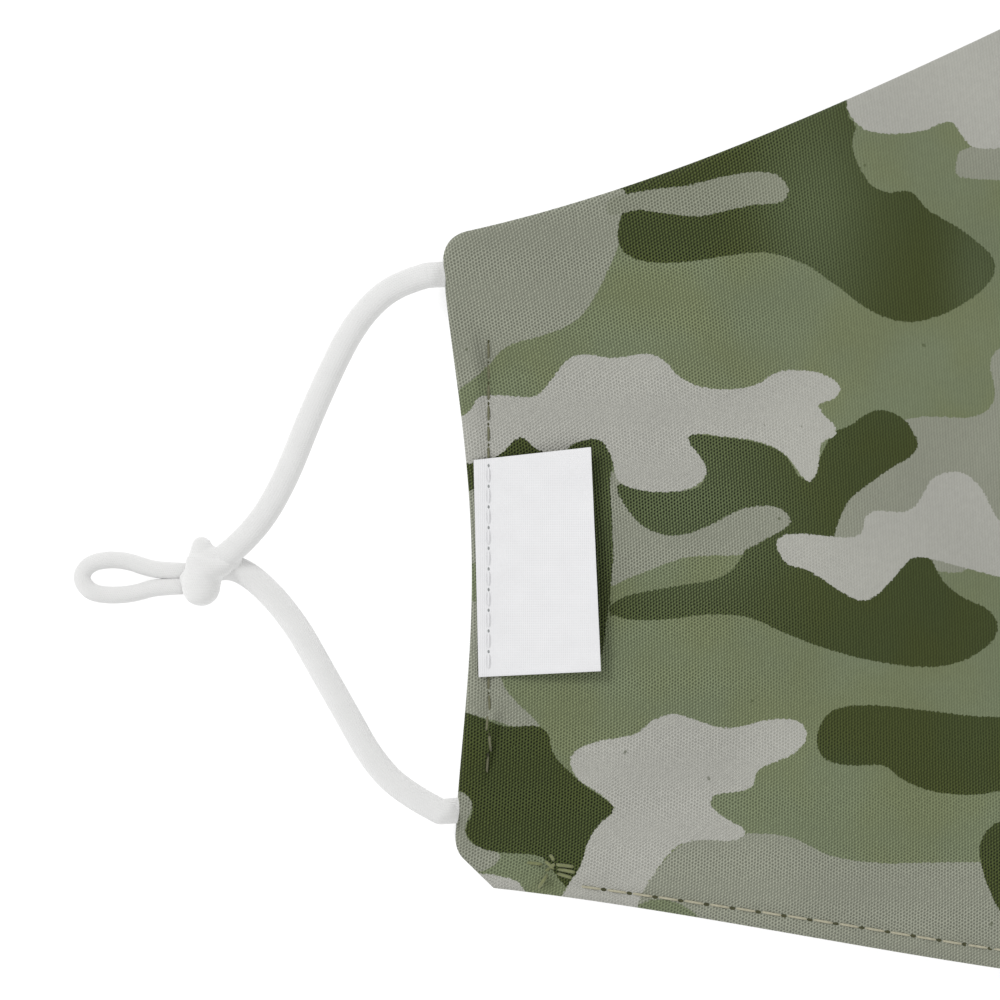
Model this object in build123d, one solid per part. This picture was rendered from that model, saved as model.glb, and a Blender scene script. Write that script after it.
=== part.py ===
from build123d import *
import math
import os

# A reusable two-panel cloth face mask, lying face up on a flat surface.
# Origin: middle of the mask, on the surface it rests on.
# +X across the mask, +Y towards the nose point, +Z out of the face. Millimetres.

# ---- driving dimensions: the panels ----
HALF_WIDTH = 99.0        # centre seam to the widest point of the side edge
HALF_HEIGHT = 71.6       # middle to the nose point, and to the chin point
RIDGE_MIDDLE = 36.0      # rise of the centre seam over the side hems, at its middle
RIDGE_END = 26.0         # the same at the nose and chin points
CONVEX = 0.38            # share of the rise that steepens towards the seam
HEM_LINE = 92.6          # centre seam to the side hem's stitching, where the rise starts
HEM_SOFTNESS = 0.8       # width over which the hem turns into the rise
HEM_PRESS = 0.05         # how far the hem is pressed flat on the surface
CORNER_LIFT = 3.0        # how far the upper side corner stands off the surface
LIFT_START = 4.0         # the lift's first Y
LIFT_LENGTH = 26.0       # Y distance over which the corner lifts
LIFT_DEPTH = 45.0        # how far the lift reaches in from the side edge
SEAM_GAP = 0.15          # each panel's clearance to the middle plane

OUTER_PLY = 0.6
MIDDLE_PLY = 0.8
LINING_PLY = 0.5
PLIES = OUTER_PLY + MIDDLE_PLY + LINING_PLY

# ---- driving dimensions: thread ----
THREAD = 0.45
STITCH_HEIGHT = 0.25
STITCH_SHARE = 0.72      # stitch length over stitch pitch
CLEAR = 0.06             # gap between a stitch and the cloth it lies on
SIDE_PITCH = 2.7
BOTTOM_PITCH = 3.5
SEAM_PITCH = 3.0
BOTTOM_INSET = 2.6       # bottom edge to its line of stitching
SEAM_INSET = 2.0         # centre seam to its thread, on the inside
SIDE_STITCH_TOP = 19.0
SIDE_STITCH_BOTTOM = -41.0
BARTACK_START = -84.2
BARTACK_END = -79.6

# ---- driving dimensions: side label ----
LABEL_THICK = 0.35
LABEL_OUTER = -94.6      # X of its sewn edge
LABEL_FOLD = -91.8       # X of the line that it lifts about
LABEL_FREE = -77.3       # X of its free edge
LABEL_TOP = 2.0
LABEL_BOTTOM = -28.6
LABEL_SKEW = 1.4         # how much further the lower end of the free edge stands out
LABEL_ANGLE = 21.0       # degrees off the level, a little more than the cloth below
LABEL_GAP = 0.4          # clearance of the flap and of the sewn edge to the fold line

# ---- driving dimensions: ear loops ----
CORD = 3.6               # diameter of the round elastic
TAIL = 2.4               # diameter of the tail's two strands
TONGUE_LENGTH = 13.0     # from the cord's exit to the inner end of its flattened tongue
TONGUE_WIDTH = 4.6
KNOT_SIZE = (7.0, 9.6, 6.8)
KNOT_CENTRE = (-133.0, -13.9, 3.4)
UPPER_ROUTE = [
    (-101.2, 27.4, 4.3),
    (-106.9, 24.6, 3.9),
    (-111.4, 20.0, 3.3),
    (-114.9, 13.6, 2.7),
    (-117.9, 6.8, 2.4),
    (-120.6, -0.2, 3.0),
    (-124.0, -6.6, 4.4),
    (-128.9, -11.6, 5.0),
]
LOWER_ROUTE = [
    (-99.3, -47.6, 2.1),
    (-104.7, -44.8, 2.0),
    (-109.0, -40.2, 2.0),
    (-112.3, -34.2, 1.9),
    (-115.9, -27.9, 1.9),
    (-119.6, -21.7, 1.9),
    (-124.4, -17.0, 1.9),
    (-129.5, -15.2, 1.9),
]
CORD_ROUTES = {"upper": UPPER_ROUTE, "lower": LOWER_ROUTE}
TAIL_START = -134.0      # X, inside the knot
TAIL_END = -146.9        # X, centre of the tail's round end
TAIL_UPPER = -12.5       # Y of the two strands
TAIL_LOWER = -16.9
TAIL_HEIGHT = 1.9

# ---- derived ----
ARC_SHARE = 0.45


def smooth(t):
    """0 below 0, 1 above 1, and an even curve between."""
    t = min(max(t, 0.0), 1.0)
    return t * t * (3 - 2 * t)


def rise(x, y):
    """Height of the cloth over the surface, less its thickness, on either side of the seam."""
    inward = HEM_LINE - abs(x)
    share = HEM_SOFTNESS * math.log1p(math.exp(inward / HEM_SOFTNESS)) / HEM_LINE
    dome = (1 - CONVEX) * share + CONVEX * share * share
    ridge = RIDGE_MIDDLE - (RIDGE_MIDDLE - RIDGE_END) * (y / HALF_HEIGHT) ** 2
    corner = smooth((y - LIFT_START) / LIFT_LENGTH) * (1 - smooth((HALF_WIDTH - abs(x)) / LIFT_DEPTH))
    return ridge * dome + CORNER_LIFT * corner - HEM_PRESS


LABEL_PLANE = PLIES + rise(LABEL_FOLD, 0) + CLEAR + LABEL_THICK / 2


def normal(x, y):
    """Upward normal of the cloth."""
    step = 0.5
    slope_x = (rise(x + step, y) - rise(x - step, y)) / (2 * step)
    slope_y = (rise(x, y + step) - rise(x, y - step)) / (2 * step)
    return Vector(-slope_x, -slope_y, 1).normalized()


# ---- outline of the left panel, seen from above ----
top_edge = Spline((-95.6, 33.6), (-62.4, 43.7), (-31.4, 56.8), (0, HALF_HEIGHT))
top_corner = ThreePointArc((-95.6, 33.6), (-98.2, 32.0), (-HALF_WIDTH, 28.9))
side_edge = Spline((-HALF_WIDTH, 28.9), (-97.3, 14.5), (-95.3, -4.0), (-95.2, -24.0), (-97.2, -50.3))
low_corner = ThreePointArc((-97.2, -50.3), (-97.0, -52.8), (-95.8, -54.5))
cut_corner = Line((-95.8, -54.5), (-91.9, -58.3))
bottom_edge = Spline((-91.9, -58.3), (-67.6, -61.6), (-26.2, -68.4), (0, -HALF_HEIGHT))
seam_edge = Line((0, -HALF_HEIGHT), (0, HALF_HEIGHT))
outline = make_face([top_edge, top_corner, side_edge, low_corner, cut_corner, bottom_edge, seam_edge])


def spaced(start, end, count):
    return [start + (end - start) * i / (count - 1) for i in range(count)]


def ply(depth, thickness):
    """One cloth layer of the left panel: its upper face lies depth below the mask's outer face."""
    rows = []
    for y in spaced(-HALF_HEIGHT - 3, HALF_HEIGHT + 3, 25):
        rows.append([Vector(x, y, PLIES - depth + rise(x, y)) for x in spaced(-HALF_WIDTH - 3, 3, 53)])
    sheet = Face.make_surface_from_array_of_points(rows, tol=0.005)
    body = extrude(sheet, amount=thickness, dir=(0, 0, -1))
    plan = extrude(outline, amount=RIDGE_MIDDLE + 20)
    room = Pos(-HALF_WIDTH / 2 - SEAM_GAP - 2, 0, RIDGE_MIDDLE / 2) * Box(HALF_WIDTH + 4, 200, RIDGE_MIDDLE + 20)
    floor_up = Pos(-HALF_WIDTH / 2, 0, 50) * Box(HALF_WIDTH + 20, 200, 100)
    return (body & plan & room & floor_up).solid()


def stitch(x, y, heading, pitch, above=CLEAR):
    """A straight stitch whose underside is this far above the mask's outer face."""
    up = normal(x, y)
    along = Vector(math.cos(heading), math.sin(heading), 0)
    along = (along - up * along.dot(up)).normalized()
    spot = Vector(x, y, PLIES + rise(x, y)) + up * (above + STITCH_HEIGHT / 2)
    frame = Plane(origin=spot, x_dir=along, z_dir=up)
    return frame * Box(pitch * STITCH_SHARE, THREAD, STITCH_HEIGHT)


def side_topstitch():
    """Line of stitches that closes the side hem; it rides over the label's sewn edge."""
    count = round((SIDE_STITCH_TOP - SIDE_STITCH_BOTTOM) / SIDE_PITCH)
    pieces = []
    for y in spaced(SIDE_STITCH_TOP, SIDE_STITCH_BOTTOM, count):
        on_label = LABEL_BOTTOM - SIDE_PITCH / 2 < y < LABEL_TOP + SIDE_PITCH / 2
        label_above = LABEL_PLANE + LABEL_THICK / 2 - PLIES - rise(-HEM_LINE, y)
        above = CLEAR + (label_above if on_label else 0)
        pieces.append(stitch(-HEM_LINE, y, math.pi / 2, SIDE_PITCH, above))
    return pieces


def bottom_point(x, inset):
    """Point inset from the bottom edge at about this X, and the edge's heading there."""
    share = (x + 91.9) / 91.9
    tangent = bottom_edge % share
    spot = bottom_edge @ share + Vector(-tangent.Y, tangent.X, 0) * inset
    return spot.X, spot.Y, math.atan2(tangent.Y, tangent.X)


def bottom_topstitch():
    count = round((-3.0 - BARTACK_END) / BOTTOM_PITCH)
    pieces = []
    for x in spaced(BARTACK_END + 2.6, -3.6, count):
        pieces.append(stitch(*bottom_point(x, BOTTOM_INSET), BOTTOM_PITCH))
    return pieces


def bartack():
    """Dense stitches side by side where the bottom stitching starts."""
    pieces = []
    for x in spaced(BARTACK_START, BARTACK_END, 9):
        spot_x, spot_y, heading = bottom_point(x, BOTTOM_INSET)
        pieces.append(stitch(spot_x, spot_y, heading + math.pi / 2, SIDE_PITCH))
    return pieces


def seam_thread():
    """The centre seam's stitching, on the lining."""
    count = round(2 * (HALF_HEIGHT - 4) / SEAM_PITCH)
    pieces = []
    for y in spaced(HALF_HEIGHT - 4, 4 - HALF_HEIGHT, count):
        below = (PLIES + CLEAR) * normal(-SEAM_INSET, y).Z + STITCH_HEIGHT
        pieces.append(stitch(-SEAM_INSET, y, math.pi / 2, SEAM_PITCH, -below))
    return pieces


def label_outline(points):
    plate = extrude(make_face(Polyline(*points, close=True)), amount=LABEL_THICK / 2, both=True)
    return Pos(0, 0, LABEL_PLANE) * plate


def label_sewn_edge():
    return label_outline([
        (LABEL_OUTER, LABEL_TOP - 0.6),
        (LABEL_FOLD - LABEL_GAP, LABEL_TOP - 0.3),
        (LABEL_FOLD - LABEL_GAP, LABEL_BOTTOM - 0.1),
        (LABEL_OUTER + 0.5, LABEL_BOTTOM - 0.2),
    ])


def label_flap():
    flat = label_outline([
        (LABEL_FOLD + LABEL_GAP, LABEL_TOP - 0.2),
        (LABEL_FREE, LABEL_TOP + 1.4),
        (LABEL_FREE + LABEL_SKEW, LABEL_BOTTOM + 0.6),
        (LABEL_FOLD + LABEL_GAP, LABEL_BOTTOM),
    ])
    hinge = Axis((LABEL_FOLD, 0, LABEL_PLANE), (0, -1, 0))
    return flat.rotate(hinge, LABEL_ANGLE)


def arc_radii(points):
    """The largest radius that each corner's two runs allow."""
    radii = []
    for before, here, after in zip(points, points[1:], points[2:]):
        first = Vector(here) - Vector(before)
        second = Vector(after) - Vector(here)
        turn = math.radians(first.get_angle(second))
        radii.append(ARC_SHARE * min(first.length, second.length) / math.tan(turn / 2))
    return radii


def cord_tube(name, points, diameter):
    radii = arc_radii(points)
    path = FilletPolyline(*points, radius=radii)
    start = Plane(origin=path @ 0, z_dir=path % 0)
    tube = sweep(start * Circle(diameter / 2), path=path)
    expected = math.pi * diameter ** 2 / 4 * path.length
    print(name, "length", round(path.length, 1), "smallest radius", round(min(radii), 1),
          "volume", round(tube.volume, 1), "expected", round(expected, 1))
    return tube.solid()


def tail_loop():
    """Two strands and the round end of the loop left free past the knot."""
    half_gap = (TAIL_UPPER - TAIL_LOWER) / 2
    out = Line((TAIL_START, TAIL_UPPER, TAIL_HEIGHT), (TAIL_END, TAIL_UPPER, TAIL_HEIGHT))
    end_y = TAIL_UPPER - half_gap
    bend = ThreePointArc(
        (TAIL_END, TAIL_UPPER, TAIL_HEIGHT),
        (TAIL_END - half_gap, end_y, TAIL_HEIGHT),
        (TAIL_END, TAIL_LOWER, TAIL_HEIGHT),
    )
    back = Line((TAIL_END, TAIL_LOWER, TAIL_HEIGHT), (TAIL_START, TAIL_LOWER, TAIL_HEIGHT))
    path = Wire([out, bend, back])
    start = Plane(origin=path @ 0, z_dir=path % 0)
    return sweep(start * Circle(TAIL / 2), path=path).solid()


def knot():
    egg = scale(Sphere(0.5), by=KNOT_SIZE)
    return (Pos(*KNOT_CENTRE) * egg).solid()


def tongue_room(route):
    """Block that holds the cord's flattened end, in line with the place where the cord leaves the hem."""
    x, y, z = route[0]
    return Pos(x + TONGUE_LENGTH / 2, y, z) * Box(TONGUE_LENGTH, TONGUE_WIDTH, 20)


def main():
    os.makedirs("parts", exist_ok=True)
    filled = ply(OUTER_PLY, MIDDLE_PLY)
    tongues = {name: (filled & tongue_room(route)).solid() for name, route in CORD_ROUTES.items()}
    middle = filled - tongue_room(UPPER_ROUTE) - tongue_room(LOWER_ROUTE)
    left = {
        "outer_panel": ply(0, OUTER_PLY),
        "interlining": middle.solid(),
        "lining_panel": ply(OUTER_PLY + MIDDLE_PLY, LINING_PLY),
        "side_topstitch": Compound(side_topstitch()),
        "bottom_topstitch": Compound(bottom_topstitch()),
        "bottom_bartack": Compound(bartack()),
        "ear_cord_end_upper": tongues["upper"],
        "ear_cord_end_lower": tongues["lower"],
        "ear_cord_upper": cord_tube("upper cord", UPPER_ROUTE, CORD),
        "ear_cord_lower": cord_tube("lower cord", LOWER_ROUTE, CORD),
        "ear_knot": knot(),
        "ear_tail": tail_loop(),
    }
    for name, shape in left.items():
        export_step(shape, f"parts/{name}_left.step")
        export_step(mirror(shape, Plane.YZ), f"parts/{name}_right.step")
    export_step(Compound(seam_thread()), "parts/centre_seam_thread.step")
    export_step(label_sewn_edge(), "parts/label_sewn_edge.step")
    export_step(label_flap(), "parts/label_flap.step")


main()
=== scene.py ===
import math

import bpy
import numpy as np
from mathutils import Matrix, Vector


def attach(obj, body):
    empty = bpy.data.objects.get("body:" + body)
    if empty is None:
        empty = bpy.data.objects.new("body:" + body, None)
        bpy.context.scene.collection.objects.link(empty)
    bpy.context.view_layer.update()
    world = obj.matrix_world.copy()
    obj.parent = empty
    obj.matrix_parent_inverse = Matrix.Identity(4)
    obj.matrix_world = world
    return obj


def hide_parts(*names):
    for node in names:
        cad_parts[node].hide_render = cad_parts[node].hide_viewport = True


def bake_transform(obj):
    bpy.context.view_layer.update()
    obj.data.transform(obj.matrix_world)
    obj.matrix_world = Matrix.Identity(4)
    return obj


# Camo face mask, lying face up. Shapes are worked out in millimetres, in the
# frame's own directions (+X across, +Y to the nose, +Z out of the face), and
# turned into metres where a mesh is made.

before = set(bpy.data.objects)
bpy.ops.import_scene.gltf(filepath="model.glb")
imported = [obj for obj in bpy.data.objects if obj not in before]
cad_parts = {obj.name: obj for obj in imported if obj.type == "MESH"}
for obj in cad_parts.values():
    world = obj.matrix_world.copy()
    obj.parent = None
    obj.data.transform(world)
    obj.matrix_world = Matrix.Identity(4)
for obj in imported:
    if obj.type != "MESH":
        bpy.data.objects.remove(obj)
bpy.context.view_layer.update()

MM = 0.001
UV_UNIT = 100.0  # millimetres for each unit of the cloth's UV map
SIDES = {"left": 1, "right": -1}

# ---- the cloth's shape, as in the CAD model ----
HALF_WIDTH = 99.0
HALF_HEIGHT = 71.6
RIDGE_MIDDLE = 36.0
RIDGE_END = 26.0
CONVEX = 0.38
HEM_LINE = 92.6
HEM_SOFTNESS = 0.8
HEM_PRESS = 0.05
CORNER_LIFT = 3.0
LIFT_START = 4.0
LIFT_LENGTH = 26.0
LIFT_DEPTH = 45.0
PLIES = 1.9
EDGE_ROUND = 1.0  # how far in from the edge the cloth starts to turn down
RELIEF_START = 1.5  # how far in from the edge the folds reach their full height
FAR_IN = 9.0  # any distance at which the edge has no more effect

# ---- outline of the left panel ----
TOP_EDGE = [(-95.6, 33.6), (-62.4, 43.7), (-31.4, 56.8), (0.0, HALF_HEIGHT)]
BOTTOM_EDGE = [(-91.9, -58.3), (-67.6, -61.6), (-26.2, -68.4), (0.0, -HALF_HEIGHT)]
SIDE_EDGE = [(-99.0, 28.9), (-97.3, 14.5), (-95.3, -4.0), (-95.2, -24.0), (-97.2, -50.3)]
TOP_CORNER = (-98.2, 32.0)
LOW_CORNER = (-97.0, -52.8)
LOW_CORNER_END = (-95.8, -54.5)
COLUMNS, ROWS = 92, 128  # mesh points between the fine strips along the edges
ACROSS, UP = 97.0, 120.0  # rough lengths of rows and columns, to turn the strips' distances into shares
HEM_STRIP = [0.12, 0.35, 0.65, 1.0, 1.5, 2.0, 2.5, 3.0, 3.5, 4.0, 4.5, 5.0, 5.5, 6.0, 6.6, 7.2, 8.0]
RIM_STRIP = [0.12, 0.35, 0.65, 1.0, 1.4, 1.9, 2.4, 2.9, 3.4, 4.0]

# ---- stitching ----
SIDE_PITCH = 2.7
SIDE_STITCH_TOP = 16.8
SIDE_STITCH_BOTTOM = -41.0
LOOSE_START = -29.0  # Y below which the side stitching is loose and wanders
LOOSE_LENGTH = 6.0  # Y distance over which it comes loose
WANDER = 0.22  # how far it wanders to each side
WANDER_RATE = 1.1  # radians of the wander for each millimetre
WANDER_TILT = 0.16
BOTTOM_PITCH = 3.5
BOTTOM_INSET = 2.6
BOTTOM_TAPER = 0.8  # how much closer to the edge the bottom stitching starts
TAPER_LENGTH = 45.0
BOTTOM_FIRST = 1.1  # from the bartack to the middle of the first bottom stitch
BOTTOM_LAST = -3.6  # X of the middle of the last one
BARTACK_START = -84.2  # X where the bottom groove starts, and where the bottom stitches do
BARTACK_END = -79.6
BARTACK = [  # middle, heading and length of each thread of the bartack
    (-81.9, -55.1, -0.12, 3.0),
    (-81.7, -55.8, -0.2, 3.0),
    (-82.0, -56.5, -0.28, 2.6),
    (-86.2, -54.8, -0.1, 2.8),
    (-83.7, -54.0, -1.0, 1.3),
    (-85.0, -57.3, 1.0, 2.8),
    (-84.0, -55.4, 0.7, 2.0),
    (-84.1, -55.0, -0.7, 2.0),
]
SEAM_PITCH = 3.0
SEAM_INSET = 2.0  # centre seam to its thread, on the inside
SEAM_MARGIN = 4.0  # nose and chin points to the first and last stitch
SEAM_DEPTH = 0.12  # how far the seam's thread hangs below the lining
THREAD = 0.36
BAR_THREAD = 0.5
STITCH_SHARE = 0.86  # stitch length over stitch pitch
STITCH_RING, STITCH_STEPS = 8, 9
STITCH_RISE = 0.42  # height of a stitch's middle over the cloth, as a share of its thread
STITCH_SINK = 0.45  # and how far below the cloth its ends are
STITCH_END = 0.75  # thickness of its ends, as a share of its thread
STITCH_FLAT = 0.8  # height over width of its section
SIDE_HOLE = 0.26  # half the length of the needle holes in each row
BOTTOM_HOLE = 0.42
LABEL_HOLE = 0.24
HOLE_SIDES = 10
HOLE_OVAL = 0.6  # width over length
HOLE_MIDDLE = 0.09  # height of a hole's middle and of its rim over the groove
HOLE_RIM = 0.05
GROOVE = 0.26  # depth and width of the groove that a line of stitches pulls
GROOVE_WIDTH = 0.7
SIDE_FADE, BOTTOM_FADE = 2.0, 3.0  # length over which each groove comes in
NEEDLE_DIP = 0.2  # how much deeper it is at each needle hole
# Distance from the stitches towards the edge, width and height of the swollen hem.
SIDE_WELT = (2.2, 1.2, 0.12)
BOTTOM_WELT = (1.4, 0.8, 0.14)
LINING_INSET, INSET_REACH = 0.15, 2.0  # how far the lining's bottom edge stops short, and from how far in

# ---- label ----
LABEL_THICK = 0.3
LABEL_OUTER = -94.7
LABEL_FOLD = -91.8
LABEL_FREE = -78.3  # the free edge's upper corner, seen from above
LABEL_TOP = 1.6
LABEL_BOTTOM = -28.8
LABEL_RISE_TO_FREE = 1.8  # how much higher the free edge's top corner is, seen from above
LABEL_SKEW = 1.4
LABEL_ANGLE = 21.0
LABEL_COLUMNS, LABEL_ROWS = 40, 60
LABEL_OUTER_SKEW = 0.7
LABEL_LOW_RISE = 0.9  # how much higher the lower edge ends at the free side
LABEL_CLEAR = 0.06
LABEL_MARGIN = 0.5  # how far past its ends a stitch still counts as on the label
LABEL_DIP = 0.1  # how far the stitching pulls the label down, and over what width
LABEL_DIP_WIDTH = 0.5
LABEL_EDGE = 0.08
LABEL_SAG = (0.02, 3.0)  # how much the bend softens the label's rise, and over what length
CURL_START = 3.0  # from the fold to where the label starts to curl
CURL_LENGTH = 11.0
CORNER_CURL = 0.5  # rise of the free upper corner, over the last share of the height
CORNER_SHARE = 0.25
RIPPLE = 0.25  # rise of the wave along the free edge
RIPPLE_TURN = 5.2  # radians of the wave over the label's height

# ---- ear loops: the CAD routes, moved to the real cords' lines and taken into the knot ----
CORD = 3.6
TAIL = 2.4
CORD_RING, KNOT_RING = 20, 28
# Distance out and size of each ring of a rounded end, in cord radii.
CORD_CAP = [(0.94, 0.34), (0.77, 0.64), (0.5, 0.87), (0.17, 0.985)]
HEM_END = 6.0  # cord inside the hem, from its exit inwards
HEM_END_DRIFT = 0.4
HEM_END_HALF = 0.55  # half the thickness that the hem presses it to
PRESS_START = 0.6  # from the exit to where the hem starts to press it
PRESS_LENGTH = 1.7
KNOT_VOXEL = 0.25  # size of the cubes that merge the knot's turns
UPPER_ROUTE = [
    (-101.2, 27.4, 4.3), (-104.5, 26.5, 4.1), (-108.3, 24.1, 3.7), (-111.8, 19.8, 3.2),
    (-114.9, 13.6, 2.7), (-117.9, 6.8, 2.4), (-120.6, -0.2, 3.0), (-124.0, -6.6, 4.2),
    (-128.4, -11.2, 4.2), (-131.4, -13.4, 3.2),
]
LOWER_ROUTE = [
    (-99.3, -47.6, 2.1), (-104.7, -44.8, 2.0), (-109.0, -40.2, 2.0), (-112.3, -34.2, 1.9),
    (-115.9, -27.9, 1.9), (-119.7, -21.1, 1.9), (-124.6, -15.4, 2.0), (-129.0, -12.9, 2.2),
    (-131.2, -13.8, 2.8),
]
TAIL_ROUTE = [
    (-133.7, -14.0, 2.2), (-137.2, -13.9, 1.7), (-140.0, -13.6, 1.4), (-143.1, -12.5, 1.3),
    (-145.9, -12.3, 1.3), (-148.5, -12.9, 1.3), (-149.8, -14.8, 1.3), (-148.5, -16.9, 1.3),
    (-145.6, -17.4, 1.3), (-142.1, -17.1, 1.3), (-139.6, -16.3, 1.4), (-136.9, -16.1, 1.7),
    (-133.7, -15.9, 2.2),
]
KNOT_TURNS = [  # radius, then the points of each turn of the knot
    (2.7, [(-131.9, -12.9, 3.3), (-132.6, -14.3, 3.6), (-132.8, -16.2, 3.3)]),
    (1.9, [(-128.9, -12.2, 3.1), (-130.4, -12.6, 3.3), (-131.8, -13.2, 3.3)]),
    (1.5, [(-129.8, -13.2, 4.0), (-131.2, -13.9, 5.3), (-132.6, -13.2, 5.5), (-133.5, -12.8, 4.6)]),
    (1.45, [(-133.6, -13.4, 3.4), (-133.1, -11.9, 3.8), (-132.7, -10.5, 3.8)]),
    (1.6, [(-133.6, -15.0, 3.0), (-134.3, -15.0, 2.5)]),
]

# ---- printed pattern: closed outlines on the left panel, millimetres ----
SAGE = [
    [(-101, 41), (-73, 40), (-74, 33), (-76, 28), (-78, 24), (-80.5, 21), (-85, 19), (-90, 17.5),
     (-92.5, 15), (-96, 12), (-101, 10), (-102, 26)],
    [(-25.5, 45), (-27.6, 43), (-27.5, 41), (-24.5, 40.5), (-20, 40), (-10, 37), (3, 38), (3, 46),
     (-11, 45)],
    [(3, 20), (-11, 18), (-20, 17.5), (-23, 15.5), (-22.5, 10), (-25.5, 7.5), (-33, 7.5), (-39, 5),
     (-42, -3), (-45.5, -10), (-35, -12.5), (-27, -14), (-21, -9), (3, -11)],
    [(-79, 1), (-72, -1.5), (-61, -3), (-53, -4), (-49.5, -7), (-53, -9), (-56.5, -11.5), (-65, -12),
     (-72, -14.5), (-77.5, -16), (-80, -8)],
    [(-101, -2), (-93, -2), (-90, -7), (-91, -12), (-101, -12)],
    [(-101, -19), (-94, -18.5), (-91, -24), (-90.5, -30), (-85.5, -35.5), (-88, -36), (-93, -34.5),
     (-101, -33)],
    [(-101, -44), (-96.5, -44.8), (-94.8, -46.5), (-95.8, -49.5), (-95, -52), (-91, -53.5), (-92.5, -55.5),
     (-96, -56), (-101, -52)],
    [(-75, -64), (-71.5, -59), (-68.8, -55.3), (-65, -51.7), (-57, -50.5), (-50.5, -51), (-45, -53.5),
     (-38, -54.5), (-27, -54.3), (-21, -55), (-16, -62), (-22, -76), (-50, -74)],
]
LEAF = [
    [(-73, -62), (-70.5, -60), (-68, -59.8), (-65.5, -60.6), (-63.5, -62.5), (-68, -65)],
]
DARK = [
    [(-73, 42), (-43, 56), (-42, 51.5), (-42.6, 49.5), (-41.5, 48), (-42, 45), (-40, 40.5), (-37.5, 38.8),
     (-34, 38.8), (-31.5, 36.2), (-27, 33.5), (-23, 30), (-22.5, 27.5), (-24.5, 24.8), (-29, 22),
     (-34, 20.7), (-39, 22), (-44.5, 26), (-49, 29), (-55, 30.5), (-65, 29.2), (-71, 29.3), (-74, 31),
     (-74.6, 33.5), (-74, 36), (-73.5, 39)],
    [(-92.5, 2.4), (-88.3, 6.4), (-84.5, 4.4), (-82.5, 1.2), (-91, 0)],
    # this shape's lower tail, down the label's free edge, is partly print and partly a painted shadow of
    # the label
    [(-82.4, 4.4), (-77.5, 6.4), (-74.2, 4.6), (-74.9, 1.6), (-75.6, -1), (-75.4, -6), (-75.2, -12),
     (-75.5, -16), (-76.0, -20), (-77.0, -26), (-79.5, -24), (-80.5, -10), (-80.5, 1)],
    [(-101, 1.3), (-94.6, 1.3), (-94.4, -2.4), (-101, -2.6)],
    [(-35, 7.3), (-37.7, 8.5), (-39.8, 8.1), (-42.3, 6.4), (-44.8, 5.2), (-46.5, 2), (-49, -1),
     (-51.4, 2.4), (-55, 4), (-60, 4.8), (-64.4, 5.2), (-65, 4), (-63.4, 2.5), (-62.4, 0), (-63, -2),
     (-65.8, -2.7), (-71.4, -2.5), (-74.6, -1.7), (-73.8, -4.4), (-71.4, -7.4), (-68.3, -8.8),
     (-65.2, -8.8), (-61.5, -7.4), (-57.4, -5.3), (-53, -4.9), (-50.7, -6.3), (-51.1, -7.8),
     (-54.6, -9.8), (-57, -11.8), (-50.5, -15.3), (-44.8, -15.3), (-44.5, -9.1), (-42.8, -4.5),
     (-40.3, -2.2), (-36.1, 0.8), (-34.2, 1.8), (-33, 3.6), (-33.6, 5.3)],
    [(-57, -11.5), (-58.5, -13.6), (-61.2, -15.1), (-65.2, -15.8), (-70.3, -16.7), (-73.8, -17.6),
     (-75.8, -19.2), (-73.5, -20.6), (-67.8, -20.7), (-62.6, -20), (-56.7, -20.3), (-51.9, -22.3),
     (-47.3, -24.1), (-42.8, -25.5), (-37.8, -26.6), (-31.5, -27.2), (-26.6, -26.2), (-23.1, -23.9),
     (-22, -21.6), (-23.4, -19.2), (-27.3, -17.2), (-29.7, -15), (-31.1, -12.3), (-33.3, -10.4),
     (-39.2, -12.5), (-44.8, -13.9), (-50.4, -12.5), (-54.6, -10.8)],
    [(-101, -33.6), (-95.5, -33.8), (-90.6, -35.6), (-86.1, -35.6), (-84.3, -36.7), (-83.3, -39.8),
     (-79.8, -43.3), (-75.9, -46.1), (-75, -47.5), (-77.4, -50), (-78.7, -53.1), (-79.5, -55.6),
     (-81.2, -58.4), (-83.4, -56.1), (-85.5, -53.8), (-91, -53.3), (-94.2, -52.4), (-95.9, -50.3),
     (-94.8, -47.2), (-96.2, -44.9), (-101, -44)],
    [(-46.9, -37.8), (-46.3, -35), (-44.1, -33), (-39.2, -32.5), (-32, -33.2), (-24.5, -34), (-15.4, -34.3),
     (-8.4, -37), (-9.8, -41.2), (-16.8, -43.3), (-24.5, -44.8), (-30.8, -44.5), (-35.1, -42.8),
     (-37.8, -40.9), (-42.7, -40.9), (-45.8, -40)],
    [(-21, -48.4), (-23, -49.4), (-24.4, -51.7), (-24.2, -54.7), (-23.1, -58), (-21, -61.7), (-15.4, -65),
     (-9.8, -60), (-11.2, -53), (-16.1, -48.9)],
    [(-10.5, 10.6), (-4.2, 12), (3, 9), (3, -3), (-5.6, -2.7), (-11.9, 3)],
    [(-38.6, 54), (-36.5, 55), (-36.6, 53.4)],
    [(-22.6, 63), (-20, 64), (-20.6, 61.4)],
]
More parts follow.
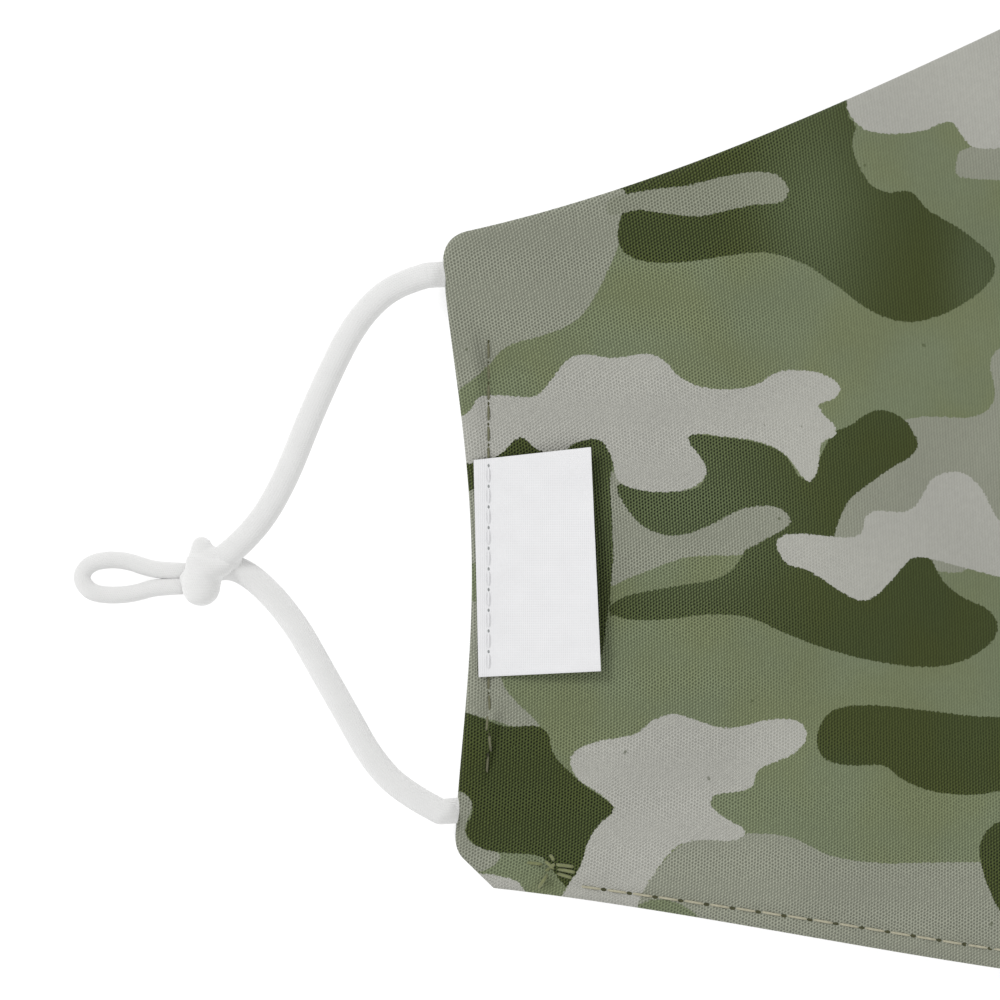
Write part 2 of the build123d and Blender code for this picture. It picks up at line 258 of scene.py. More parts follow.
LIGHT = [
    [(-101, 6), (-95.8, 8), (-93.7, 10.5), (-89.6, 10.5), (-86.1, 10.5), (-84, 12.5), (-81.9, 15.3),
     (-79.4, 16.4), (-75.3, 15.8), (-70.8, 16.4), (-68.2, 15.5), (-65.7, 13), (-61.6, 11.5), (-56, 11.8),
     (-52.9, 13.6), (-50, 14.1), (-46.3, 13.6), (-43.7, 11.9), (-44.5, 10.1), (-46.6, 9.5), (-46.2, 8.1),
     (-44.4, 6.2), (-44.5, 4.8), (-46.3, 3.9), (-46.9, -0.1), (-48.3, -1.4), (-51.4, 2.4), (-55, 4.1),
     (-60.2, 4.9), (-64.4, 5.2), (-64.7, 4.1), (-62.7, 1.5), (-62.3, -0.6), (-64.7, -2.5), (-70, -2.8),
     (-74.3, -1.5), (-75.6, 2.4), (-77.4, 4.5), (-80.6, 3.9), (-83, 2.2), (-86, 3.2), (-88.2, 4.8),
     (-90.8, 2.6), (-94, 1.3), (-101, 1.2)],
    [(-52.5, -10.4), (-51.8, -9), (-49, -8.7), (-43.4, -9.2), (-40.9, -8.8), (-40.2, -6.3), (-38.8, -5.5),
     (-34.3, -5.5), (-32.1, -2.9), (-30.8, -0.8), (-27.3, -0.1), (-24.5, -2.1), (-23, -4.9), (-21, -7.3),
     (-12.6, -9), (-9.1, -12.5), (-14, -15.3), (-21, -14.8), (-27, -13.3), (-32.9, -11.9), (-35.1, -13.3),
     (-37.2, -15.8), (-39.9, -17.9), (-42.8, -17.2), (-47.9, -13.9), (-51, -12.9)],
    [(-68.2, -34.2), (-66.2, -33.9), (-59.6, -35.8), (-54, -34.7), (-50.1, -34.6), (-48.4, -36),
     (-48.6, -37.7), (-50.4, -39.5), (-55, -41.6), (-55.7, -43.8), (-58.1, -44.7), (-61, -45.1),
     (-61.6, -46.5), (-59.6, -48.4), (-56.7, -50.1), (-58.5, -51.5), (-63, -51.4), (-66.4, -52.4),
     (-69.3, -55.9), (-71.4, -59.4), (-73.5, -64), (-82.6, -62), (-81.8, -58.4), (-79.8, -55.3),
     (-78.7, -51.8), (-77, -49.1), (-75, -47.2), (-77, -45.1), (-80.1, -43), (-81.2, -40.6),
     (-80.5, -39.1), (-77.7, -37.8), (-72.2, -36.7), (-70, -34.9)],
    [(-42.7, 60), (-42.7, 51.4), (-42.6, 50.1), (-40.6, 47.7), (-37.2, 46.9), (-32.2, 47.3), (-28.6, 48.6),
     (-26.9, 46.6), (-25.2, 44.9), (-21, 44.8), (-12.6, 45.2), (-5.6, 49.1), (3, 52), (3, 80), (-20, 80)],
    [(-95, -56.5), (-90.6, -56.7), (-88.1, -57.8), (-87.6, -60.2), (-91, -61.5), (-96, -60)],
    [(-12.6, -23.7), (-4.2, -20.9), (3, -23.7), (3, -32), (-5.6, -33.5), (-11.2, -29.3)],
]
TONGUE = [
    [(-75.6, 38), (-70, 39.3), (-65.2, 39.8), (-60.6, 40.9), (-56, 41.7), (-52.5, 41.3), (-50.8, 39.3),
     (-51.8, 37.5), (-56, 37.1), (-59.1, 36.4), (-63.1, 35.6), (-68.2, 36), (-71.8, 36.5), (-75.6, 35.7)],
]

PRINT = [  # each printed layer, lowest first, and how deep the weave shows in it
    ("sage", SAGE, 0.56),
    ("leaf", LEAF, 0.62),
    ("dark", DARK, 1.3),
    ("light", LIGHT, 0.25),
    ("tongue", TONGUE, 0.56),
]
GROUND_DEPTH = 0.62  # the same for the green cloth between the shapes
SHEEN_PATCHES = [  # middle, half width, half height and strength of each painted sheen, where the dark print is painted lighter
    (-65, -6, 13, 17, 1.0),
    (-47.5, 36, 8, 18, 0.85),
    (-24.5, 27, 4.5, 10, 0.7),
]

# ---- colours, linear ----
SAGE_GREY = (0.216, 0.225, 0.178)
LEAF_GREEN = (0.137, 0.161, 0.095)
OLIVE = (0.0385, 0.0500, 0.0155)
PALE_GREY = (0.332, 0.332, 0.300)
TONGUE_GREY = (0.188, 0.198, 0.150)
# painted sheen: a lighter olive that the dark print is painted with where light catches it
SHEEN_OLIVE = (0.068, 0.086, 0.040)
YELLOWED_LEAF = (0.137, 0.15778, 0.0836)
YELLOWED_OLIVE = (0.04004, 0.0500, 0.013175)
LINING_PIT_SHADE = (0.008, 0.009, 0.009)
LINING_DARK = (0.012, 0.013, 0.013)
LINING_PALE = (0.034, 0.037, 0.035)
LABEL_WHITE = (0.675, 0.675, 0.685)
ELASTIC_WHITE = (0.72, 0.72, 0.715)
THREADS = {  # pale and dark colour of each thread, and of the dark discs of painted shade at the needle holes
    "needle_hole_shade": ((0.065, 0.066, 0.03), (0.025, 0.026, 0.011)),
    "side_thread": ((0.16, 0.16, 0.10), (0.09, 0.09, 0.05)),
    "bar_thread": ((0.20, 0.22, 0.11), (0.12, 0.13, 0.055)),
    "bottom_thread": ((0.42, 0.40, 0.30), (0.24, 0.23, 0.16)),
    "label_thread": ((0.68, 0.68, 0.69), (0.60, 0.60, 0.61)),
    "label_hole_shade": ((0.30, 0.31, 0.31), (0.16, 0.17, 0.17)),
}
SPECULAR = 0.12  # the same low level for every material

# ---- weave: cycles for each millimetre along X and Y, and strength of each set of yarns ----
WARP = ((2.36, 0.12), 0.42)
WEFTS = [((1.36, -2.07), 0.4), ((1.0, 2.07), 0.18)]
FINE_SHARE = 0.65  # how much weaker the weave is towards the seam than at the side and the bottom; it also sets how much darker the cloth is painted there, which is painted shade
FINE_FROM = (-66.0, -62.0)  # X and Y where it starts to weaken, and the distances that this takes
FINE_OVER = (34.0, 40.0)
YARN_DRIFT = 0.3  # how far the uneven yarns wander
FRAY = 0.55  # how far the print's edges wander, and half the width that they blur over
PRINT_BLUR = 0.07
DARKEST = 0.06  # least light that a pit in the weave gives back, as a share of its colour

# ---- camera, lamps and floor ----
VIEW_MIDDLE = (-91.0, -4.0)
VIEW_WIDTH = 140.0
VIEW_DISTANCE = 2500.0
VIEW_END = 20.0  # metres
SENSOR = 36
LAMPS = [  # name, place and diameter in metres, power in watts
    ("key", (-0.62, 0.5, 0.62), 0.4, 4.1),
    ("fill", (0.3, -0.5, 0.95), 1.0, 3.6),
]
LAMP_TARGET = (-0.05, 0, 0)
WORLD_STRENGTH = 0.78
FLOOR_REACH = 1500.0
FLOOR_LEVEL = -0.05
FLOOR_GLOW = 0.62
FLOOR_SOLID = 0.5  # share of the floor's own shading; the rest is clear


# -------- shape
def smooth(t):
    """Rises from 0 to 1 as t does, with soft ends."""
    t = np.clip(t, 0.0, 1.0)
    return t * t * (3 - 2 * t)


def rise(x, y):
    """Height of the cloth's underside, in millimetres."""
    inward = HEM_LINE - np.abs(x)
    share = HEM_SOFTNESS * np.logaddexp(0.0, inward / HEM_SOFTNESS) / HEM_LINE
    dome = (1 - CONVEX) * share + CONVEX * share * share
    ridge = RIDGE_MIDDLE - (RIDGE_MIDDLE - RIDGE_END) * (y / HALF_HEIGHT) ** 2
    corner = smooth((y - LIFT_START) / LIFT_LENGTH) * (1 - smooth((HALF_WIDTH - np.abs(x)) / LIFT_DEPTH))
    return ridge * dome + CORNER_LIFT * corner - HEM_PRESS


def through(points, swap=False):
    """Polynomial through a few points: y of x, or with swap x of y."""
    a, b = np.array(points).T
    if swap:
        a, b = b, a
    return np.poly1d(np.polyfit(a, b, len(points) - 1))


top_line = through(TOP_EDGE)
bottom_line = through(BOTTOM_EDGE)
side_line = through(SIDE_EDGE, swap=True)


def curve_between(start, middle, end, count):
    """Points of a rounded corner that passes near its middle point."""
    t = np.linspace(0, 1, count)[:, None]
    start, middle, end = np.array(start), np.array(middle), np.array(end)
    pull = 2 * middle - (start + end) / 2
    return (1 - t) ** 2 * start + 2 * t * (1 - t) * pull + t ** 2 * end


def side_path():
    """The panel's left boundary, from the bottom edge's outer end up to the top edge's."""
    y = np.linspace(SIDE_EDGE[-1][1], SIDE_EDGE[0][1], 60)
    side = np.stack([side_line(y), y], 1)
    low = curve_between(LOW_CORNER_END, LOW_CORNER, SIDE_EDGE[-1], 10)
    high = curve_between(SIDE_EDGE[0], TOP_CORNER, TOP_EDGE[0], 12)
    return np.concatenate([[BOTTOM_EDGE[0]], low, side[1:], high[1:]])


def resample(path, shares):
    """Points at the given shares of a path's length."""
    steps = np.linalg.norm(np.diff(path, axis=0), axis=1)
    along = np.concatenate([[0], np.cumsum(steps)]) / steps.sum()
    return np.stack([np.interp(shares, along, path[:, k]) for k in range(2)], 1)


def shares_with_fine_ends(count, length, fine):
    """Shares from 0 to 1 that are closer together within a few millimetres of both ends."""
    ends = np.array(fine) / length
    middle = np.linspace(ends[-1], 1 - ends[-1], count)
    return np.concatenate([[0], ends[:-1], middle, 1 - ends[-2::-1], [1]])


def panel_grid():
    """Plan positions of the left panel's mesh points, rows from bottom to top."""
    across = shares_with_fine_ends(COLUMNS, ACROSS, HEM_STRIP)
    up = shares_with_fine_ends(ROWS, UP, RIM_STRIP)
    left = resample(side_path(), up)
    seam_y = -HALF_HEIGHT + 2 * HALF_HEIGHT * up
    x_top = TOP_EDGE[0][0] * (1 - across)
    x_bottom = BOTTOM_EDGE[0][0] * (1 - across)
    top = np.stack([x_top, top_line(x_top)], 1)
    bottom = np.stack([x_bottom, bottom_line(x_bottom)], 1)
    u = across[None, :, None]
    v = up[:, None, None]
    right = np.stack([np.zeros_like(seam_y), seam_y], 1)
    ruled = (1 - v) * bottom[None] + v * top[None] + (1 - u) * left[:, None] + u * right[:, None]
    corners = ((1 - u) * (1 - v) * bottom[0] + u * (1 - v) * bottom[-1]
               + (1 - u) * v * top[0] + u * v * top[-1])
    return ruled - corners


def rim_of(rows):
    """The outermost entries of a grid, in order round it."""
    return np.concatenate([rows[0], rows[1:, -1], rows[-1, -2::-1], rows[-2:0:-1, 0]])


def line_distance(x, y, start, end):
    """Distance of each place from the straight line between two points."""
    dx, dy = end[0] - start[0], end[1] - start[1]
    from_x, from_y = x - start[0], y - start[1]
    t = np.clip((from_x * dx + from_y * dy) / max(dx * dx + dy * dy, 1e-9), 0, 1)
    return np.hypot(from_x - t * dx, from_y - t * dy)


def edge_distance(grid):
    """Distance from each mesh point to the panel's outline."""
    rim = rim_of(grid)
    nearest = np.full(grid.shape[:2], np.inf)
    for start, end in zip(rim, np.roll(rim, -1, axis=0)):
        nearest = np.minimum(nearest, line_distance(grid[..., 0], grid[..., 1], start, end))
    return nearest


def side_stitches():
    """Middle, heading and pitch of each stitch, from the top down."""
    count = round((SIDE_STITCH_TOP - SIDE_STITCH_BOTTOM) / SIDE_PITCH)
    places = []
    for y in np.linspace(SIDE_STITCH_TOP, SIDE_STITCH_BOTTOM, count):
        loose = float(smooth((LOOSE_START - y) / LOOSE_LENGTH))
        x = -HEM_LINE + WANDER * loose * math.sin(WANDER_RATE * y)
        heading = math.pi / 2 - WANDER_TILT * loose * math.cos(WANDER_RATE * y)
        places.append((x, y, heading, SIDE_PITCH))
    return places


def bottom_inset(x):
    """Distance of the bottom stitching from the edge."""
    return BOTTOM_INSET - BOTTOM_TAPER * (1 - smooth((x - BARTACK_END) / TAPER_LENGTH))


def bottom_stitches():
    """The same for the bottom stitching, from the bartack to the seam."""
    count = round((BOTTOM_LAST - BARTACK_END) / BOTTOM_PITCH)
    places = []
    for x in np.linspace(BARTACK_END + BOTTOM_FIRST, BOTTOM_LAST, count):
        heading = math.atan(bottom_line.deriv()(x))
        inset = bottom_inset(x)
        stitch_x = x - inset * math.sin(heading)
        stitch_y = bottom_line(x) + inset * math.cos(heading)
        places.append((stitch_x, stitch_y, heading, BOTTOM_PITCH))
    return places


def bell(distance, width):
    """1 at no distance, falling away to 0 over about twice the width."""
    return np.exp(-(distance / width) ** 2)


def ridge_between(x, y, start, end, width):
    """A soft ridge along a line on the cloth, fading at both its ends."""
    a, d = np.array(start), np.array(end) - np.array(start)
    length = np.hypot(*d)
    along = ((x - a[0]) * d[0] + (y - a[1]) * d[1]) / length
    beside = ((x - a[0]) * d[1] - (y - a[1]) * d[0]) / length
    fade = 0.3 * length
    return bell(beside, width) * smooth(along / fade) * smooth((length - along) / fade)


FOLDS = [  # start, end, width and height of each soft fold in the cloth
    ((-67, 46), (-60, 8), 5.0, 0.75),
    ((-58, 50), (-49, 12), 4.0, -0.45),
    ((-40, 58), (-30, 18), 6.0, 0.6),
    ((-97, 27), (-70, 16), 3.5, 0.4),
    ((-96, -48), (-66, -40), 4.0, 0.4),
    ((-84, -58), (-72, -36), 3.0, 0.35),
    ((-80, -59), (-60, -52), 2.6, -0.3),
    ((-40, -60), (-28, -20), 7.0, 0.5),
    ((-90, -34), (-70, -10), 6.0, -0.3),
]
PUCKERS = [  # start, end, width and height of each crease at the ends of the stitching
    ((-94.4, 21.0), (-91.8, 11.0), 0.5, -0.5),
    ((-95.6, 19.5), (-93.8, 8.0), 0.9, 0.5),
    ((-92.0, 20.0), (-88.0, 9.0), 0.8, 0.35),
    ((-94.2, -45.0), (-91.4, -31.0), 0.5, 0.7),
    ((-93.2, -44.5), (-90.0, -31.5), 0.45, -0.7),
    ((-88.5, -54.0), (-81.0, -56.8), 0.5, -0.5),
    ((-89.0, -53.0), (-82.0, -55.6), 0.5, 0.45),
    ((-85.2, -52.6), (-82.8, -59.2), 0.5, -0.5),
    ((-86.2, -53.5), (-84.4, -59.2), 0.45, 0.4),
    ((-86.6, -58.8), (-81.6, -53.8), 0.45, 0.4),
    ((-82.0, -57.6), (-75.0, -55.0), 0.5, 0.3),
]


def relief(x, y):
    """How far the outer cloth stands off its smooth shape: folds, grooves and puckers."""
    lift = np.zeros_like(x)
    for start, end, width, height in FOLDS + PUCKERS:
        lift += height * ridge_between(x, y, start, end, width)
    below_top = SIDE_STITCH_TOP + SIDE_FADE / 2 - y
    above_bottom = y - SIDE_STITCH_BOTTOM + SIDE_FADE / 2
    on_side = smooth(below_top / SIDE_FADE) * smooth(above_bottom / SIDE_FADE)
    from_bottom = y - bottom_line(x) - bottom_inset(x)
    on_bottom = smooth((x - BARTACK_START) / BOTTOM_FADE)
    for from_stitches, on_line, (aside, width, height) in (
        (x + HEM_LINE, on_side, SIDE_WELT),
        (from_bottom, on_bottom, BOTTOM_WELT),
    ):
        lift -= GROOVE * bell(from_stitches, GROOVE_WIDTH) * on_line
        lift += height * bell(from_stitches + aside, width) * on_line
    for spot_x, spot_y, heading, pitch in side_stitches() + bottom_stitches():
        end_x = spot_x + math.cos(heading) * pitch / 2
        end_y = spot_y + math.sin(heading) * pitch / 2
        lift -= NEEDLE_DIP * bell(np.hypot(x - end_x, y - end_y), GROOVE_WIDTH)
    return lift


def outer_height(x, y, edge):
    """Height of the mask's outer face."""
    turn = np.clip(1 - edge / EDGE_ROUND, 0, 1)
    drop = PLIES / 2 * (1 - np.sqrt(1 - turn ** 2))
    return rise(x, y) + PLIES - drop + relief(x, y) * smooth(edge / RELIEF_START)


def inner_height(x, y, edge):
    """Height of the lining's face, which is on the floor side."""
    turn = np.clip(1 - edge / EDGE_ROUND, 0, 1)
    lift = PLIES / 2 * (1 - np.sqrt(1 - turn ** 2))
    return np.maximum(rise(x, y), 0) + lift


# -------- pattern
def closed_curve(points, steps=6):
    """Smooth closed line through the points."""
    p = np.array(points, float)
    a, b, c, d = np.roll(p, 1, 0), p, np.roll(p, -1, 0), np.roll(p, -2, 0)
    line = []
    for t in np.arange(steps) / steps:
        line.append(0.5 * (2 * b + (c - a) * t + (2 * a - 5 * b + 4 * c - d) * t ** 2
                           + (3 * b - a - 3 * c + d) * t ** 3))
    return np.stack(line, 1).reshape(-1, 2)


def inside_distance(x, y, outlines):
    """Distance inside the nearest outline's edge: positive inside, negative outside."""
    best = np.full(x.shape, -np.inf)
    for outline in outlines:
        line = closed_curve(outline)
        after = np.roll(line, -1, axis=0)
        distance = np.full(x.shape, np.inf)
        inside = np.zeros(x.shape, bool)
        for (ax, ay), (bx, by) in zip(line, after):
            distance = np.minimum(distance, line_distance(x, y, (ax, ay), (bx, by)))
            if ay != by:
                crosses = ((ay > y) != (by > y)) & (x < ax + (y - ay) * (bx - ax) / (by - ay))
                inside ^= crosses
        best = np.maximum(best, np.where(inside, distance, -distance))
    return best


# -------- meshes
def add_object(name, data):
    """A new object in the scene."""
    obj = bpy.data.objects.new(name, data)
    bpy.context.scene.collection.objects.link(obj)
    return obj


def final_mesh(obj):
    """The mesh that an object's curve or modifiers make."""
    bpy.context.view_layer.update()
    return bpy.data.meshes.new_from_object(obj.evaluated_get(bpy.context.evaluated_depsgraph_get()))


def new_object(name, verts, faces, materials=(), smooth_faces=True):
    mesh = bpy.data.meshes.new(name)
    mesh.from_pydata([tuple(v) for v in np.asarray(verts) * MM], [], faces)
    for material in materials:
        mesh.materials.append(material)
    if smooth_faces:
        mesh.polygons.foreach_set("use_smooth", [True] * len(mesh.polygons))
    return add_object(name, mesh)


def apply_modifiers(obj):
    mesh = final_mesh(obj)
    obj.modifiers.clear()
    obj.data = mesh


def grid_faces(rows, columns, flip):
    index = np.arange(rows * columns).reshape(rows, columns)
    quads = np.stack([index[:-1, :-1], index[:-1, 1:], index[1:, 1:], index[1:, :-1]], -1).reshape(-1, 4)
    if flip:
        quads = quads[:, ::-1]
    return quads.tolist()


def ring_faces(rings, sides, first=0):
    """Quads that join each ring of points to the next one."""
    quads = []
    for near in range(first, first + (rings - 1) * sides, sides):
        far = near + sides
        for j in range(sides):
            k = (j + 1) % sides
            quads.append((near + j, near + k, far + k, far + j))
    return quads


def set_uv(obj, flat):
    """Places on the flat cloth, in UV units."""
    layer = obj.data.uv_layers.new(name="cloth")
    corner_vertex = np.empty(len(obj.data.loops), int)
    obj.data.loops.foreach_get("vertex_index", corner_vertex)
    layer.data.foreach_set("uv", (flat[corner_vertex] / UV_UNIT).ravel())


def set_attribute(obj, name, values):
    attribute = obj.data.attributes.new(name, "FLOAT", "POINT")
    attribute.data.foreach_set("value", values.ravel().astype(np.float32))


grid = panel_grid()
edge = edge_distance(grid)
grid_x, grid_y = grid[..., 0], grid[..., 1]


def flat_places(sign):
    """Each mesh point's place on the panel before it was shaped."""
    height = rise(grid_x, grid_y)
    steps = np.hypot(np.diff(grid_x, axis=1), np.diff(height, axis=1))
    across = np.concatenate([np.zeros((len(grid), 1)), np.cumsum(steps, axis=1)], axis=1)
    from_seam = across - across[:, -1:]
    return np.stack([sign * from_seam, grid_y], -1).reshape(-1, 2)


def declare_panel():
    """Flat places of the panel's mesh points, as long as the outline and as wide as its cloth measures from
    seam to hem; nothing is kept.
    """
    flat = flat_places(1).reshape(*grid_x.shape, 2)


def panel(name, sign, y, z, flip, material):
    verts = np.stack([sign * grid_x, y, z], -1).reshape(-1, 3)
    obj = new_object(name, verts, grid_faces(*grid_x.shape, flip), [material])
    set_uv(obj, flat_places(sign))
    return obj


def cloth_panel(side, material):
    """Outer cloth of one half, with its print, how much its weave shows and how much painted shade it gets
    towards the seam, and where its dark print gets a painted sheen.
    """
    sign = SIDES[side]
    z = outer_height(grid_x, grid_y, edge)
    obj = panel(f"camo_cloth_{side}", sign, grid_y, z, sign < 0, material)
    for name, outlines, _ in PRINT:
        set_attribute(obj, name, inside_distance(grid_x, sign * grid_y, outlines))
    fine_x, fine_y = [smooth((at - start) / over)
                      for at, start, over in zip((grid_x, grid_y), FINE_FROM, FINE_OVER)]
    # painted shade: the same share also sets how much darker the cloth is painted towards the seam
    set_attribute(obj, "coarse_and_lit", 1 - FINE_SHARE * fine_x * fine_y)
    # painted sheen: places where the dark print is painted lighter
    painted_sheen = np.zeros_like(grid_x)
    for x, y, wide, high, strength in SHEEN_PATCHES:
        painted_sheen = np.maximum(painted_sheen, strength * bell(grid_x - x, wide) * bell(sign * grid_y - y, high))
    set_attribute(obj, "painted_sheen", painted_sheen)
    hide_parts(f"outer_panel_{side}")
    return obj


def lining_panel(side, material):
    """Inner cloth of one half; its edge stops a little short of the outer cloth's."""
    sign = SIDES[side]
    z = inner_height(grid_x, grid_y, edge)
    near_bottom = np.clip(1 - (grid_y - bottom_line(grid_x)) / INSET_REACH, 0, 1)
    y = grid_y + LINING_INSET * near_bottom
    obj = panel(f"lining_cloth_{side}", sign, y, z, sign > 0, material)
    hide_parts(f"lining_panel_{side}", f"interlining_{side}")
    return obj


# -------- materials
class Nodes:
    """Short forms for building a material's node tree."""

    def __init__(self, name):
        self.material = bpy.data.materials.new(name)
        self.material.use_nodes = True
        self.tree = self.material.node_tree
        self.shader = self.tree.nodes["Principled BSDF"]

    def link(self, output, target):
        self.tree.links.new(output, target)

    def put(self, value, socket):
        """Set a socket to a number, vector or colour, or link it to another node."""
        if isinstance(value, (int, float)):
            socket.default_value = value
        elif isinstance(value, tuple):
            socket.default_value = (*value, 1) if socket.type == "RGBA" else value
        else:
            self.link(value, socket)

    def add(self, kind, values=(), **settings):
        """A node with these settings, and these values or links in its sockets."""
        node = self.tree.nodes.new(kind)
        for key, value in settings.items():
            setattr(node, key, value)
        for key, value in dict(values).items():
            self.put(value, node.inputs[key])
        return node

    def math(self, operation, *values):
        return self.add("ShaderNodeMath", enumerate(values), operation=operation).outputs[0]

    def scaled(self, value, factor, plus=0.0):
        return self.math("MULTIPLY_ADD", value, factor, plus)

    def ramp(self, value, low, high):
        """Soft step from 0 at the low value to 1 at the high one."""
        values = {"Value": value, "From Min": low, "From Max": high}
        return self.add("ShaderNodeMapRange", values, interpolation_type="SMOOTHSTEP").outputs["Result"]

    def mix(self, share, a, b, blend="MIX"):
        """Mix of two colours; 6, 7 and 2 are the node's colour sockets."""
        values = {0: share, 6: a, 7: b}
        return self.add("ShaderNodeMix", values, data_type="RGBA", blend_type=blend).outputs[2]

    def shaded(self, colour, shade):
        """The colour, made lighter or darker by a factor."""
        grey = self.add("ShaderNodeCombineColor", {0: shade, 1: shade, 2: shade})
        return self.mix(1.0, colour, grey.outputs[0], "MULTIPLY")

    def noise(self, vector, scale, detail=2.0):
        values = {"Vector": vector, "Scale": scale, "Detail": detail}
        return self.add("ShaderNodeTexNoise", values).outputs["Fac"]

    def attribute(self, name):
        return self.add("ShaderNodeAttribute", attribute_name=name).outputs["Fac"]

    def cloth_place(self):
        """Place on the flat cloth, in millimetres."""
        uv = self.add("ShaderNodeUVMap", uv_map="cloth").outputs[0]
        return self.add("ShaderNodeVectorMath", {0: uv, "Scale": UV_UNIT}, operation="SCALE").outputs[0]

    def ripples(self, vector, *waves):
        """Sum of waves, each with its cycles for each millimetre along X and Y, and its height."""
        total = 0.0
        for (x_cycles, y_cycles), height in waves:
            turns = (2 * math.pi * x_cycles, 2 * math.pi * y_cycles, 0)
            dot = self.add("ShaderNodeVectorMath", {0: vector, 1: turns}, operation="DOT_PRODUCT")
            total = self.scaled(self.math("COSINE", dot.outputs["Value"]), height, total)
        return total

    def bump(self, height, distance, strength=1.0):
        values = {"Strength": strength, "Distance": distance, "Height": height}
        self.link(self.add("ShaderNodeBump", values).outputs[0], self.shader.inputs["Normal"])

    def finish(self, colour, roughness, sheen=0.0):
        self.put(colour, self.shader.inputs["Base Color"])
        self.put(roughness, self.shader.inputs["Roughness"])
        self.shader.inputs["Sheen Weight"].default_value = sheen
        self.shader.inputs["Specular IOR Level"].default_value = SPECULAR
        return self.material


def weave_height(n, place, across=1.0):
    """Bumps of the weave, about -1 in the pits and 1 on the yarns, with slightly uneven yarns."""
    uneven = n.add("ShaderNodeTexNoise", {"Vector": place, "Scale": 0.9}).outputs["Color"]
    values = {0: uneven, 1: (YARN_DRIFT, YARN_DRIFT, 0), 2: place}
    place = n.add("ShaderNodeVectorMath", values, operation="MULTIPLY_ADD").outputs[0]
    return n.scaled(n.ripples(place, *WEFTS), across, n.ripples(place, WARP))


def camo_material():
    """Printed cloth: frayed shapes, slow changes of tone, a painted sheen on the dark print, painted shade
    towards the seam and in the weave's pits, and a weave that bumps it.
    """
    n = Nodes("camo_cloth")
    place = n.cloth_place()
    fray = n.scaled(n.noise(place, 2.6, 1.0), FRAY, -FRAY / 2)
    yellowing = n.ramp(n.noise(place, 0.07, 2.0), 0.35, 0.65)
    green = n.mix(yellowing, LEAF_GREEN, YELLOWED_LEAF)
    olive = n.mix(yellowing, OLIVE, YELLOWED_OLIVE)
    # painted sheen: the dark print is painted lighter in a few places
    olive = n.mix(n.attribute("painted_sheen"), olive, SHEEN_OLIVE)
    paints = {"sage": SAGE_GREY, "leaf": green, "dark": olive, "light": PALE_GREY, "tongue": TONGUE_GREY}
    colour = green
    contrast = (GROUND_DEPTH,) * 3
    for name, _, depth in PRINT:
        inside = n.ramp(n.math("ADD", n.attribute(name), fray), -PRINT_BLUR, PRINT_BLUR)
        colour = n.mix(inside, colour, paints[name])
        contrast = n.mix(inside, contrast, (depth,) * 3)
    coarse_and_lit = n.attribute("coarse_and_lit")
    weave = weave_height(n, place, coarse_and_lit)
    deep = n.scaled(weave, coarse_and_lit)
    # painted shade: the cloth is painted darker towards the seam, where the weave is fine, and the weave's
    # pits are painted darker than its yarns
    shade = n.math("MAXIMUM", n.scaled(deep, contrast, n.scaled(coarse_and_lit, 0.27, 0.80)), DARKEST)
    tone = n.scaled(n.noise(place, 0.045, 2.0), 0.3, 0.85)
    slub = n.scaled(n.noise(place, 1.1, 3.0), 0.16, 0.92)
    colour = n.shaded(colour, n.scaled(shade, n.scaled(tone, slub)))
    fleck = n.ramp(n.noise(place, 0.55, 0.0), 0.86, 0.88)
    colour = n.mix(n.scaled(fleck, 0.5), colour, OLIVE)
    n.bump(deep, 0.00013, 0.9)
    return n.finish(colour, n.scaled(weave, -0.06, 0.84), 0.03)


def lining_material():
    """Plain dark cloth with the same weave."""
    n = Nodes("lining_cloth")
    place = n.cloth_place()
    weave = weave_height(n, place)
    tone = n.scaled(n.noise(place, 0.08, 2.0), 0.5, 0.75)
    colour = n.mix(tone, LINING_DARK, LINING_PALE)
    # painted shade: the weave's pits are painted darker than its yarns
    colour = n.mix(n.ramp(weave, -0.8, 0.9), LINING_PIT_SHADE, colour)
    n.bump(weave, 0.00012, 0.8)
    return n.finish(colour, n.scaled(weave, -0.05, 0.88), 0.1)


def label_material():
    """Blank white ribbon with fine ribs both ways."""
    n = Nodes("label_cloth")
    place = n.cloth_place()
    ribs = n.ripples(place, ((0.0, 4.2), 0.35), ((3.4, 0.0), 0.65))
    tone = n.scaled(n.noise(place, 0.3, 3.0), 0.08, 0.94)
    # painted shade: the hollows between the ribs are painted a little darker
    colour = n.shaded(LABEL_WHITE, n.scaled(tone, n.scaled(ribs, 0.015, 0.985)))
    n.bump(ribs, 0.00004, 0.6)
    return n.finish(colour, n.scaled(ribs, -0.05, 0.55), 0.1)


def elastic_material():
    """Soft knitted elastic: fine ribs along the cord and stitches across it."""
    n = Nodes("elastic")
    place = n.cloth_place()
    knit = n.ripples(place, ((0.0, 2.6), 0.5), ((3.2, 1.3), 0.5))
    tone = n.scaled(n.noise(place, 0.35, 3.0), 0.06, 0.95)
    # painted shade: the hollows of the knit are painted a little darker
    colour = n.shaded(ELASTIC_WHITE, n.scaled(tone, n.scaled(knit, 0.012, 0.988)))
    n.bump(knit, 0.00005, 0.6)
    n.shader.inputs["Diffuse Roughness"].default_value = 1.0
    return n.finish(colour, n.scaled(knit, -0.04, 0.8), 0.3)


def thread_material(name, pale, dark):
    """Thread or hole that changes between two colours from ply to ply."""
    n = Nodes(name)
    coordinates = n.add("ShaderNodeTexCoord").outputs["Object"]
    ply = n.noise(coordinates, 2600, 1.0)
    n.bump(ply, 0.00008, 0.7)
    return n.finish(n.mix(ply, dark, pale), n.scaled(ply, 0.2, 0.6), 0.2)


